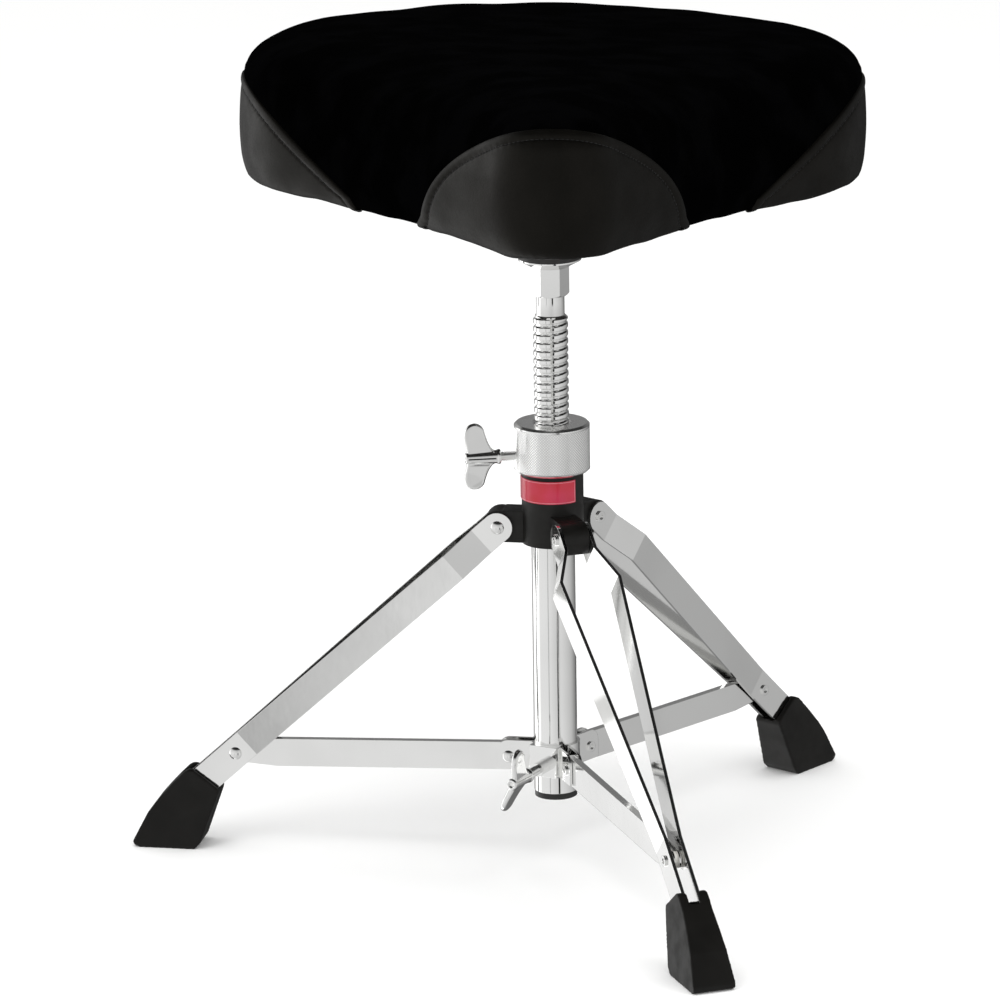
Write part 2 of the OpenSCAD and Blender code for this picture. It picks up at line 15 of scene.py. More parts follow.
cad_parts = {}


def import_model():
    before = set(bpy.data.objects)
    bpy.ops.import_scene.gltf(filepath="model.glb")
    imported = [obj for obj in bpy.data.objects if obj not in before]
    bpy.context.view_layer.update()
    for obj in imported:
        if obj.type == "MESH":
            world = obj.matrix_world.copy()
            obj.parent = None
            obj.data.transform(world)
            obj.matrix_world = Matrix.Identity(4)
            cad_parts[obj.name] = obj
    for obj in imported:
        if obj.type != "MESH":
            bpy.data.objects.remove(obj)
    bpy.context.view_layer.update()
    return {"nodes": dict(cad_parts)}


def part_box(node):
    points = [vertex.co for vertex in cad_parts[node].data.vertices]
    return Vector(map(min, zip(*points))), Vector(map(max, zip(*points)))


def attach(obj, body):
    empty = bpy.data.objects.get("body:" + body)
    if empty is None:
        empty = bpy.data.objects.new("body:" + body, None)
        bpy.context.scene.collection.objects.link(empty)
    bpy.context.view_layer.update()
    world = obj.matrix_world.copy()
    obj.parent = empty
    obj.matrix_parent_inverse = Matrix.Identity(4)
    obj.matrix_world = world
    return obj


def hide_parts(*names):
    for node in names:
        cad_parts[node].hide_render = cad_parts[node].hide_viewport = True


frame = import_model()
nodes = frame["nodes"]
MM = 0.001
TAU = 2 * math.pi
LEGS = ("right", "left", "front")


def span(node):
    """Lowest and highest corner of a CAD node, in millimetres."""
    low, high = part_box(node)
    return np.array(low) / MM, np.array(high) / MM


KNURL_LOW = span("height_nut")[0][2] + 2.1  # where the nut's knurl begins


# ---------------------------------------------------------------- materials


class Nodes:
    """Shader nodes that are added by kind, with their inputs linked or set by name."""

    def __init__(self, tree):
        self.tree = tree

    def add(self, kind, settings=None, **inputs):
        node = self.tree.nodes.new(kind)
        for key, value in (settings or {}).items():
            setattr(node, key, value)
        for key, value in inputs.items():
            self.feed(node.inputs[key.replace("_", " ")], value)
        return node

    def feed(self, socket, value):
        if isinstance(value, bpy.types.NodeSocket):
            self.tree.links.new(value, socket)
        else:
            socket.default_value = value

    def math(self, operation, a, b=0.0):
        node = self.add("ShaderNodeMath", {"operation": operation})
        for socket, value in zip(node.inputs, (a, b)):
            self.feed(socket, value)
        return node.outputs[0]

    def mix(self, factor, a, b):
        node = self.add("ShaderNodeMix", {"data_type": "RGBA"}, Factor=factor)
        for socket, value in zip([i for i in node.inputs if i.type == "RGBA"], (a, b)):
            self.feed(socket, value if isinstance(value, bpy.types.NodeSocket) else (*value, 1))
        return [o for o in node.outputs if o.type == "RGBA"][0]


class Shader(Nodes):
    """A Principled material. Textures use the rest position in metres."""

    def __init__(self, name, color, roughness, **constants):
        self.material = bpy.data.materials.new(name)
        self.material.use_nodes = True
        super().__init__(self.material.node_tree)
        self.bsdf = self.tree.nodes["Principled BSDF"]
        self.bsdf.inputs["Base Color"].default_value = (*color, 1)
        self.bsdf.inputs["Roughness"].default_value = roughness
        for socket, value in constants.items():
            self.bsdf.inputs[socket.replace("_", " ")].default_value = value
        self.place = self.add("ShaderNodeTexCoord").outputs["Object"]

    def stretch(self, scale):
        return self.add("ShaderNodeMapping", Vector=self.place, Scale=scale).outputs["Vector"]

    def noise(self, size, detail=2.0, vector=None, rough=0.5):
        """Noise whose grains are about size millimetres across, from 0 to 1."""
        return self.add("ShaderNodeTexNoise", Vector=vector or self.place, Scale=1 / (size * MM),
                        Detail=detail, Roughness=rough).outputs["Fac"]

    def ramp(self, value, low, high, from_low=0.3, from_high=0.7):
        """Maps a value to a smooth range of numbers."""
        node = self.add("ShaderNodeMapRange", {"interpolation_type": "SMOOTHSTEP"}, Value=value)
        keys = ("From Min", "From Max", "To Min", "To Max")
        for key, number in zip(keys, (from_low, from_high, low, high)):
            node.inputs[key].default_value = number
        return node.outputs["Result"]

    def mottle(self, size, detail, a, b):
        """Patches about size millimetres across, whose colour runs from a to b."""
        return self.color(self.mix(self.ramp(self.noise(size, detail), 0, 1), a, b))

    def color(self, socket):
        self.tree.links.new(socket, self.bsdf.inputs["Base Color"])
        return self

    def roughness(self, socket):
        self.tree.links.new(socket, self.bsdf.inputs["Roughness"])
        return self

    def bump(self, height, depth, strength=1.0, edge=0.0):
        """Bumps of the given depth, and edges broken to the given radius, in millimetres."""
        node = self.add("ShaderNodeBump", Height=height, Distance=depth * MM, Strength=strength)
        if edge:
            broken = self.add("ShaderNodeBevel", {"samples": 6}, Radius=edge * MM)
            self.tree.links.new(broken.outputs["Normal"], node.inputs["Normal"])
        self.tree.links.new(node.outputs["Normal"], self.bsdf.inputs["Normal"])
        return self


def chrome(name, tint=(0.93, 0.93, 0.92), rough=0.06, edge=0.0):
    """Bright plating: faint smudges, fine hairlines and a slight ripple under the polish."""
    s = Shader(name, tint, rough, Metallic=1.0)
    smudge = s.noise(45, 3)
    hair = s.noise(1.2, 2, s.stretch((1, 1, 0.08)))
    s.roughness(s.math("ADD", s.ramp(smudge, rough * 0.6, rough * 1.5), s.ramp(hair, 0, 0.025)))
    s.mottle(70, 2, tint, tuple(c * 0.94 for c in tint))
    return s.bump(s.noise(9, 2), 0.012, edge=edge).material


NUT_R, KNURLS, KNURL_ROW = 27.5, 84, 1.03  # radius, diamonds round the nut, half a diamond's height


def knurled():
    """Plating on the height nut. The V grooves between the knurl's diamonds get painted shade: a grey colour
    that stands in for the shade in them.
    """
    tint = (1.0, 1.0, 0.99)
    s = Shader("knurled_chrome_plate", tint, 0.2, Metallic=1.0)
    x, y, z = s.add("ShaderNodeSeparateXYZ", Vector=s.place).outputs
    round_it = s.math("MULTIPLY", s.math("ARCTAN2", y, x), KNURLS / TAU)
    up = s.math("MULTIPLY", s.math("SUBTRACT", z, KNURL_LOW * MM), 0.5 / (KNURL_ROW * MM))
    near = []
    for step in ("ADD", "SUBTRACT"):
        part = s.math("FRACT", s.math(step, round_it, up))
        near.append(s.math("MULTIPLY", s.math("ABSOLUTE", s.math("SUBTRACT", part, 0.5)), 2.0))
    wall = s.ramp(s.math("SQRT", s.math("ADD", s.math("MULTIPLY", x, x), s.math("MULTIPLY", y, y))), 0, 1,
                  (NUT_R - 0.9) * MM, (NUT_R - 0.6) * MM)
    # painted shade: a mask of the knurl's V grooves on the nut's outer wall, where the grey colour darkens
    # the plating
    groove = s.math("MULTIPLY", s.ramp(s.math("MAXIMUM", *near), 0, 1, 0.62, 0.98), wall)
    # painted shade: the grey colour laid into the grooves in place of the shade that falls in them
    s.color(s.mix(groove, tint, (0.74, 0.74, 0.735)))
    s.roughness(s.ramp(s.noise(12, 3), 0.16, 0.26))
    return s.bump(s.noise(3, 2), 0.01).material


def powder_coat():
    s = Shader("satin_black_coat", (0.006, 0.0056, 0.0048), 0.42, Specular_IOR_Level=0.26)
    grain = s.noise(0.7, 3)
    s.mottle(14, 3, (0.0048, 0.0045, 0.0038), (0.0078, 0.0073, 0.0063))
    s.roughness(s.ramp(s.noise(6, 3), 0.36, 0.5))
    return s.bump(grain, 0.035, edge=0.7).material


def black_steel():
    s = Shader("black_steel", (0.012, 0.012, 0.012), 0.38, Specular_IOR_Level=0.4)
    s.mottle(10, 3, (0.009, 0.009, 0.009), (0.017, 0.016, 0.015))
    s.roughness(s.ramp(s.noise(4, 3), 0.32, 0.5))
    return s.bump(s.noise(0.9, 2), 0.02).material


def dark_screw():
    s = Shader("oxide_screw", (0.05, 0.05, 0.052), 0.4, Metallic=1.0)
    s.roughness(s.ramp(s.noise(1.5, 2), 0.3, 0.5))
    s.mottle(3, 2, (0.035, 0.035, 0.038), (0.08, 0.078, 0.075))
    return s.bump(s.noise(0.5, 2), 0.02).material


def enamel():
    s = Shader("red_enamel", (0.42, 0.012, 0.03), 0.34, Coat_Weight=0.35, Coat_Roughness=0.12,
               Specular_IOR_Level=0.35)
    s.mottle(22, 2, (0.40, 0.012, 0.026), (0.44, 0.02, 0.06))
    s.roughness(s.ramp(s.noise(3, 2), 0.28, 0.4))
    return s.bump(s.noise(2.5, 2), 0.01).material


def badge_trim():
    s = Shader("badge_trim", (0.55, 0.13, 0.17), 0.34, Coat_Weight=0.3, Coat_Roughness=0.12)
    s.mottle(5, 2, (0.52, 0.11, 0.15), (0.60, 0.18, 0.22))
    return s.bump(s.noise(1.5, 2), 0.01).material


def plastic(name, dark, light, rough, grain):
    s = Shader(name, dark, rough, Specular_IOR_Level=0.45)
    s.mottle(12, 3, dark, light)
    s.roughness(s.ramp(s.noise(3, 2), rough - 0.07, rough + 0.08))
    return s.bump(s.noise(grain, 3), 0.03).material


def rubber():
    """Moulded rubber: matt, slightly waxy, with a fine spark-eroded skin."""
    s = Shader("foot_rubber", (0.0055, 0.0051, 0.0043), 0.5, Specular_IOR_Level=0.2)
    bloom = s.ramp(s.noise(26, 3), 0, 1)
    s.color(s.mix(bloom, (0.0046, 0.0043, 0.0036), (0.0066, 0.0061, 0.0052)))
    s.roughness(s.ramp(s.noise(12, 3), 0.44, 0.56))
    return s.bump(s.noise(0.55, 3), 0.03).material


def velour():
    """Short black pile: nearly all light is lost between the fibres, with faint brushed patches."""
    s = Shader("black_velour", (0.0005, 0.0005, 0.0006), 0.95, Specular_IOR_Level=0.0,
               Sheen_Weight=0.003, Sheen_Roughness=0.35, Sheen_Tint=(0.6, 0.6, 0.65, 1))
    fibre = s.noise(0.35, 2)
    nap = s.ramp(s.noise(38, 4, s.stretch((1, 1.8, 1))), 0, 1, 0.4, 0.65)
    s.color(s.mix(nap, (0.0003, 0.0003, 0.0003), (0.0008, 0.0008, 0.0009)))
    return s.bump(s.math("ADD", fibre, s.math("MULTIPLY", s.noise(2.2, 3), 0.7)), 0.5).material


def leatherette():
    """Coated fabric with a small pebble grain, a few fine creases and rubbed highlights."""
    s = Shader("black_leatherette", (0.0018, 0.0016, 0.0013), 0.4, Specular_IOR_Level=0.14,
               Specular_Tint=(1.0, 0.95, 0.85, 1))
    cells = s.add("ShaderNodeTexVoronoi", {"feature": "SMOOTH_F1"}, Vector=s.place, Scale=1 / (1.15 * MM),
                  Smoothness=0.6).outputs["Distance"]
    pebble = s.math("SUBTRACT", 1.0, cells)
    crease = s.ramp(s.noise(7, 5, rough=0.6), 0, 1, 0.35, 0.6)
    height = s.math("ADD", pebble, s.math("MULTIPLY", crease, 0.5))
    s.mottle(30, 4, (0.0013, 0.0012, 0.0009), (0.0024, 0.0021, 0.0017))
    s.roughness(s.math("ADD", s.ramp(s.noise(24, 4), 0.34, 0.46), s.math("MULTIPLY", cells, 0.12)))
    return s.bump(height, 0.06, 0.7).material


def thread_yarn():
    s = Shader("black_thread", (0.004, 0.004, 0.004), 0.7, Sheen_Weight=0.1, Specular_IOR_Level=0.2)
    s.color(s.mix(s.noise(0.4, 2), (0.002, 0.002, 0.002), (0.008, 0.008, 0.008)))
    return s.bump(s.noise(0.3, 2), 0.08).material


def dust_cloth():
    """Non-woven underside cloth: matted fibres and a dotted bond pattern."""
    s = Shader("underside_cloth", (0.012, 0.012, 0.012), 0.9, Sheen_Weight=0.05, Specular_IOR_Level=0.15)
    fibres = s.noise(1.4, 6, s.stretch((1, 0.35, 1)), 0.7)
    dots = s.add("ShaderNodeTexVoronoi", {"feature": "F1"}, Vector=s.place, Scale=1 / (2.4 * MM),
                 Randomness=0.1).outputs["Distance"]
    s.color(s.mix(s.ramp(fibres, 0, 1), (0.008, 0.008, 0.008), (0.02, 0.02, 0.0195)))
    return s.bump(s.math("ADD", fibres, dots), 0.15).material


def plywood():
    """Birch plywood: long grain on the faces and darker glue lines between the plies."""
    s = Shader("birch_plywood", (0.50, 0.35, 0.20), 0.6)
    grain = s.noise(5, 4, s.stretch((0.08, 1, 1)))
    plies = s.add("ShaderNodeTexWave", {"wave_type": "BANDS", "bands_direction": "Z"}, Vector=s.place,
                  Scale=1 / (6.6 * MM), Distortion=0.4).outputs["Fac"]
    tone = s.math("MULTIPLY", s.ramp(grain, 0.5, 1), s.ramp(plies, 0.6, 1, 0.1, 0.4))
    s.color(s.mix(tone, (0.26, 0.15, 0.07), (0.58, 0.42, 0.26)))
    return s.bump(grain, 0.1).material


def zinc():
    s = Shader("zinc_plate", (0.62, 0.62, 0.58), 0.3, Metallic=1.0)
    s.mottle(2, 3, (0.50, 0.50, 0.47), (0.70, 0.69, 0.62))
    s.roughness(s.ramp(s.noise(1.5, 3), 0.25, 0.45))
    return s.bump(s.noise(0.8, 2), 0.015).material


def floor_paper():
    s = Shader("pale_floor", (0.93, 0.93, 0.92), 0.9, Specular_IOR_Level=0.0)
    s.color(s.mix(s.noise(400, 2), (0.925, 0.925, 0.92), (0.94, 0.94, 0.935)))
    return s.bump(s.noise(3, 2), 0.02).material


FINISH = {
    "chrome_steel": chrome("chrome_plate", edge=0.45),
    "knurled_chrome": knurled(),
    "black_bracket": powder_coat(),
    "badge_red": enamel(),
    "black_steel": black_steel(),
    "dark_screw": dark_screw(),
    "nylon": plastic("white_nylon", (0.66, 0.65, 0.61), (0.74, 0.73, 0.69), 0.42, 1.0),
    "plug_plastic": plastic("black_plug_plastic", (0.008, 0.008, 0.008), (0.014, 0.014, 0.013), 0.4, 0.8),
    "foot_rubber": rubber(),
    "zinc_fixings": zinc(),
    "plywood": plywood(),
    "velour": velour(),
    "leatherette": leatherette(),
    "underside_cloth": dust_cloth(),
}
TRIM = badge_trim()
POLISHED = chrome("polished_chrome_plate", rough=0.05)
THREAD = thread_yarn()
FLOOR = floor_paper()


# ---------------------------------------------------------------- mesh helpers


def new_mesh(name, points, faces):
    """A mesh from points in millimetres."""
    mesh = bpy.data.meshes.new(name)
    mesh.from_pydata([tuple(p) for p in np.asarray(points, float) * MM], [], faces)
    return mesh


def add_piece(name, points, faces, body, slot, material=None, replaces=(), sharp=30.0):
    """A mesh piece, given in millimetres, that rides on a body and stands for CAD nodes."""
    mesh = new_mesh(name, points, faces)
    clean_mesh(mesh)
    return finish_piece(mesh, name, body, slot, material, replaces, sharp)


def new_object(name, data):
    """An object in the scene that shows a mesh, a light or a camera."""
    obj = bpy.data.objects.new(name, data)
    bpy.context.scene.collection.objects.link(obj)
    return obj


def clean_mesh(mesh):
    """Merges coincident points, drops collapsed faces and turns all faces outwards."""
    bm = bmesh.new()
    bm.from_mesh(mesh)
    bmesh.ops.remove_doubles(bm, verts=bm.verts, dist=1e-6)
    bmesh.ops.dissolve_degenerate(bm, dist=1e-7, edges=bm.edges)
    bmesh.ops.recalc_face_normals(bm, faces=bm.faces)
    bm.to_mesh(mesh)
    bm.free()


def finish_piece(mesh, name, body, slot, material, replaces, sharp):
    obj = new_object(name, mesh)
    mesh.materials.clear()
    mesh.materials.append(material or FINISH[slot])
    mesh.polygons.foreach_set("use_smooth", [True] * len(mesh.polygons))
    mesh.set_sharp_from_angle(angle=math.radians(sharp))
    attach(obj, body)
    if replaces:
        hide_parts(*replaces)
    return obj


def grid_faces(rows, cols, wrap, start=0, flip=False):
    """Quads between the rows of a grid. Rows going up and columns counter-clockwise face outwards."""
    faces = []
    for r in range(rows - 1):
        for c in range(cols if wrap else cols - 1):
            d = (c + 1) % cols
            quad = [start + i * cols + j for i, j in ((r, c), (r, d), (r + 1, d), (r + 1, c))]
            faces.append(quad[::-1] if flip else quad)
    return faces


def lathe_rings(profile, cols):
    """Rings of points about the Z axis through each (radius, height) of a profile."""
    turn = np.arange(cols) * TAU / cols
    return np.array([[(r * math.cos(a), r * math.sin(a), z) for a in turn] for r, z in profile])


def ringed_solid(rings):
    """Points and faces of a solid whose skin is a stack of rings, closed by flat ends."""
    rows, cols = rings.shape[:2]
    faces = grid_faces(rows, cols, True)
    faces.append(list(range(cols))[::-1])
    faces.append([(rows - 1) * cols + c for c in range(cols)])
    return rings.reshape(-1, 3), faces


def slab_solid(outer, inner):
    """Points and faces of a solid between two open grids of points."""
    rows, cols = outer.shape[:2]
    n = rows * cols
    faces = grid_faces(rows, cols, False) + grid_faces(rows, cols, False, n, True)
    border = ([(0, c) for c in range(cols)] + [(r, cols - 1) for r in range(1, rows)]
              + [(rows - 1, c) for c in range(cols - 2, -1, -1)] + [(r, 0) for r in range(rows - 2, 0, -1)])
    ids = [r * cols + c for r, c in border]
    for a, b in zip(ids, ids[1:] + ids[:1]):
        faces.append([b, a, a + n, b + n])
    return np.concatenate([outer.reshape(-1, 3), inner.reshape(-1, 3)]), faces


def join(parts):
    """Points and faces of several meshes together."""
    points, faces, start = [], [], 0
    for p, f in parts:
        points.append(np.asarray(p, float).reshape(-1, 3))
        faces += [[i + start for i in face] for face in f]
        start += len(points[-1])
    return np.concatenate(points), faces


def evaluated_mesh(obj):
    return bpy.data.meshes.new_from_object(obj.evaluated_get(bpy.context.evaluated_depsgraph_get()))


def fused(mesh, voxel, smooth, name, body, slot, material, replaces):
    """Closed parts run together into one skin, with every edge rounded."""
    obj = new_object(name, mesh)
    remesh = obj.modifiers.new("remesh", "REMESH")
    remesh.mode = "VOXEL"
    remesh.voxel_size = voxel * MM
    polish = obj.modifiers.new("polish", "SMOOTH")
    polish.factor = 0.5
    polish.iterations = smooth
    skin = evaluated_mesh(obj)
    bpy.data.objects.remove(obj)
    return finish_piece(skin, name, body, slot, material, replaces, 180.0)


# ---------------------------------------------------------------- seat

# The plan is drawn by arcs that touch one another: nose, hollow flank, rear corner and back
NOSE_R, CORNER_R, FLANK_R = 49.5, 111.0, 800.0
cover_low, cover_high = span("seat_cover")
SKIN = 1.3  # from the CAD cover's surface out to the panels' surface
SEAT_HALF_W = cover_high[0] + SKIN
NOSE_Y = cover_low[1] - SKIN
BACK_Y = cover_high[1] + SKIN
SEAT_LOW = cover_low[2] - SKIN
SEAT_HIGH = cover_high[2] + SKIN
WIDEST_Y = 90.0
nose_c = np.array([0, NOSE_Y + NOSE_R])
corner_c = np.array([SEAT_HALF_W - CORNER_R, WIDEST_Y])
back_span = BACK_Y - WIDEST_Y - CORNER_R
BACK_R = CORNER_R + (corner_c[0] ** 2 + back_span ** 2) / (2 * back_span)
back_c = np.array([0, BACK_Y - BACK_R])


def flank_centre():
    """Centre of the hollow arc that touches the nose's arc and the corner's."""
    a, b, d = FLANK_R + NOSE_R, FLANK_R + CORNER_R, np.linalg.norm(corner_c - nose_c)
    turn = math.acos((a * a + d * d - b * b) / (2 * a * d))
    to_corner = corner_c - nose_c
    direction = math.atan2(to_corner[1], to_corner[0]) - turn
    return nose_c + a * np.array([math.cos(direction), math.sin(direction)]), direction


flank_c, nose_end = flank_centre()
corner_start = math.atan2(*(flank_c - corner_c)[::-1])
corner_end = math.atan2(*(corner_c - back_c)[::-1])
STEP = 3.4  # spacing of the seat's columns along its outline


def plan_columns():
    """Each column round the seat: its arc's centre, radius, how an inset changes it, and its direction."""
    arcs = [(nose_c, NOSE_R, -1, -math.pi / 2, nose_end),
            (flank_c, FLANK_R, 1, nose_end + math.pi, corner_start + math.pi),
            (corner_c, CORNER_R, -1, corner_start, corner_end),
            (back_c, BACK_R, -1, corner_end, math.pi / 2)]
    half = []
    for centre, radius, sign, a, b in arcs:
        count = max(6, round(abs(b - a) * radius / STEP))
        for t in range(count):
            angle = a + (b - a) * t / count
            half.append((*centre, radius, sign, math.cos(angle), math.sin(angle)))
    half.append((*back_c, BACK_R, -1, 0.0, 1.0))
    other = [(-x, y, r, s, -dx, dy) for x, y, r, s, dx, dy in half[-2:0:-1]]
    return np.array(half + other)


COLUMNS = plan_columns()
COLS = len(COLUMNS)
HALF = COLS // 2


def outline(inset):
    return COLUMNS[:, :2] + (COLUMNS[:, 2] + COLUMNS[:, 3] * inset)[:, None] * COLUMNS[:, 4:6]


def running_length(points):
    """Distance along a line of points, from its first."""
    return np.concatenate([[0], np.cumsum(np.linalg.norm(np.diff(points, axis=0), axis=1))])


def smooth_path(points, spacing):
    """Points at an even spacing along a Catmull-Rom curve."""
    p = np.array(points, float)
    p = np.vstack([2 * p[0] - p[1], p, 2 * p[-1] - p[-2]])
    fine = []
    for i in range(1, len(p) - 2):
        for t in np.linspace(0, 1, 20, endpoint=False):
            fine.append(0.5 * (2 * p[i] + (p[i + 1] - p[i - 1]) * t
                               + (2 * p[i - 1] - 5 * p[i] + 4 * p[i + 1] - p[i + 2]) * t * t
                               + (3 * p[i] - p[i - 1] - 3 * p[i + 1] + p[i + 2]) * t ** 3))
    fine.append(p[-2])
    fine = np.array(fine)
    length = running_length(fine)
    count = max(2, round(length[-1] / spacing) + 1)
    at = np.linspace(0, length[-1], count)
    return np.stack([np.interp(at, length, fine[:, k]) for k in range(fine.shape[1])], 1)


# Inset and height of the seat's side, from the stapled edge underneath to the top's shoulder
UNDER_INSET = 36.0
FROM_LOW = [(UNDER_INSET, 0.6), (26, 0.4), (16, 0), (9, 0.3), (5, 3), (2.6, 10), (1.2, 20), (0, 40)]
FROM_HIGH = [(0.4, 29), (1.8, 22), (5, 15.5), (12, 8.6), (22, 4.7), (38, 2)]
SIDE = smooth_path([(inset, SEAT_LOW + up) for inset, up in FROM_LOW]
                   + [(inset, SEAT_HIGH - down) for inset, down in FROM_HIGH], 2.9)
CROWN = np.array([0, 35.0])
UNDER_ROWS, TOP_ROWS = 6, 44


def seat_rings():
    """The cushion's skin at rest as rings of points, from the middle underneath to the crown."""
    rings = []
    under, top = outline(UNDER_INSET), outline(SIDE[-1][0])
    for t in np.linspace(0.01, 1, UNDER_ROWS, endpoint=False):
        z = SIDE[0][1] + 1.5 * (1 - t)
        rings.append(np.column_stack([CROWN + (under - CROWN) * t, np.full(COLS, z)]))
    for inset, z in SIDE:
        rings.append(np.column_stack([outline(inset), np.full(COLS, z)]))
    for t in np.linspace(1, 0.01, TOP_ROWS + 1)[1:]:
        z = SIDE[-1][1] + 2 * (1 - t * t)
        rings.append(np.column_stack([CROWN + (top - CROWN) * t, np.full(COLS, z)]))
    return np.array(rings)


def column_length(ring):
    step = np.linalg.norm(np.roll(ring, -1, 0) - ring, axis=1)
    return np.concatenate([[0], np.cumsum(step)[:-1]]), step.sum()


def lumps(rings):
    """The soft, slightly uneven lower edge of hand-pulled upholstery."""
    place, total = column_length(rings[UNDER_ROWS + 20])
    wave = np.zeros(COLS)
    for count, size, phase in ((9, 0.9, 0.4), (17, 0.6, 2.1), (29, 0.4, 4.0), (47, 0.22, 1.3)):
        wave += size * np.sin(TAU * count * place / total + phase)
    out = rings.copy()
    low = np.exp(-((rings[:, :, 2] - SEAT_LOW) / 13) ** 2)
    low[:UNDER_ROWS + 6] = 0
    out[:, :, 2] += low * wave * 0.8
    out[:, :, :2] += (low * wave * 0.8)[:, :, None] * COLUMNS[None, :, 4:6] * -COLUMNS[None, :, 3:4]
    return out


def ring_normals(rings):
    """Outward normals of a closed stack of rings."""
    along = np.roll(rings, -1, 1) - np.roll(rings, 1, 1)
    up = np.gradient(rings, axis=0)
    normal = np.cross(along, up)
    return normal / np.maximum(np.linalg.norm(normal, axis=2, keepdims=True), 1e-9)


def relaxed(field, passes):
    """Evens out a field over the rings by averaging each point with its neighbours."""
    for _ in range(passes):
        field = (field * 2 + np.roll(field, 1, 1) + np.roll(field, -1, 1)
                 + np.concatenate([field[:1], field[:-1]]) + np.concatenate([field[1:], field[-1:]])) / 6
    return field


SHRINK = 0.2  # the sewn cover is cut a little smaller than the foam fills it
PUFF_CAP = 4.6
VOXEL = 5.0


def inflated(rings):
    """Cloth simulation: the cover is stapled underneath and the foam presses it out from within."""
    start = rings - ring_normals(rings) * SHRINK
    points, faces = ringed_solid(start)
    obj = new_object("sim", new_mesh("sim", points, faces))
    remesh = obj.modifiers.new("remesh", "REMESH")
    remesh.mode = "VOXEL"
    remesh.voxel_size = VOXEL * MM
    obj.data = evaluated_mesh(obj)
    obj.modifiers.clear()
    before = np.array([v.co for v in obj.data.vertices]) / MM
    pinned = obj.vertex_groups.new(name="stapled")
    pinned.add([i for i, p in enumerate(before) if p[2] < SEAT_LOW + 4], 1.0, "REPLACE")
    cloth = obj.modifiers.new("cloth", "CLOTH")
    cloth.settings.vertex_group_mass = "stapled"
    cloth.settings.use_pressure = True
    cloth.settings.uniform_pressure_force = 4.0
    cloth.settings.effector_weights.gravity = 0.0
    cloth.settings.tension_stiffness = 18
    cloth.settings.compression_stiffness = 18
    cloth.settings.bending_stiffness = 2
    cloth.settings.quality = 5
    scene = bpy.context.scene
    for number in range(1, 21):
        scene.frame_set(number)
    swollen = obj.evaluated_get(bpy.context.evaluated_depsgraph_get())
    after = np.array([v.co for v in swollen.data.vertices]) / MM
    scene.frame_set(1)
    move = after - before
    length = np.linalg.norm(move, axis=1, keepdims=True)
    move *= np.minimum(1, PUFF_CAP / np.maximum(length, 1e-9))
    polygons = [tuple(p.vertices) for p in obj.data.polygons]
    tree = BVHTree.FromPolygons([Vector(p) for p in before], polygons)
    field = np.zeros_like(start)
    for r in range(start.shape[0]):
        for c in range(COLS):
            where = Vector(start[r, c])
            _, _, face, _ = tree.find_nearest(where)
            ids = list(polygons[face])
            weight = 1 / (np.sum((before[ids] - start[r, c]) ** 2, axis=1) + 0.5)
            field[r, c] = (move[ids] * weight[:, None]).sum(0) / weight.sum()
    bpy.data.objects.remove(obj)
    return start + relaxed(field, 48)


REST = seat_rings()
TILT, SHIFT, PIVOT_Z = 0.0167, 2.6, 480.0  # the upholstery sits slightly askew on its board


def askew(points):
    """Points of the upholstery, turned a little about the seat's middle line and moved to the right."""
    points = np.asarray(points, float)
    up = points[..., 2] - PIVOT_Z
    x = points[..., 0] * math.cos(TILT) + up * math.sin(TILT) + SHIFT
    z = PIVOT_Z - points[..., 0] * math.sin(TILT) + up * math.cos(TILT)
    return np.stack([x, points[..., 1], z], -1)


def settled(points):
    """The crown after some use: the foam has sunk a little, and more on the right."""
    x, up = points[..., 0], np.clip((points[..., 2] - PIVOT_Z) / 115, 0, 1)
    out = points.copy()
    out[..., 2] -= up * (1.5 + 0.008 * x) * np.clip(1 - (x / 230) ** 4, 0, 1)
    return out


FORM = settled(lumps(inflated(REST)))
SHAPE = askew(FORM)
NORMALS = ring_normals(SHAPE)
FIRST_SIDE = UNDER_ROWS


def sample(field, col, row):
    """A field of the rings at places between its columns and rows."""
    col, row = np.asarray(col, float) % COLS, np.clip(row, 0, field.shape[0] - 1.001)
    c, r = np.floor(col).astype(int), np.floor(row).astype(int)
    u, v = (col - c)[..., None], (row - r)[..., None]
    d = (c + 1) % COLS
    return ((field[r, c % COLS] * (1 - u) + field[r, d] * u) * (1 - v)
            + (field[r + 1, c % COLS] * (1 - u) + field[r + 1, d] * u) * v)


def crossing(values, at):
    """The first place along values, between two samples, where they pass the number at."""
    side = values > at
    i = int(np.argmax(side[1:] != side[:-1]))
    return i + (at - values[i]) / (values[i + 1] - values[i])


WRAP_ROW = FIRST_SIDE + 3  # the panels end here, underneath
ARCH_HALF_W, ARCH_TOP, ARCH_BASE, ARCH_POWER = 93.5, 64.0, 456.3, 2.15
ARCH_UP = np.array([0, math.sin(math.radians(15)), math.cos(math.radians(15))])
SEAM_X, SEAM_SLOPE = 136.5, 1.24


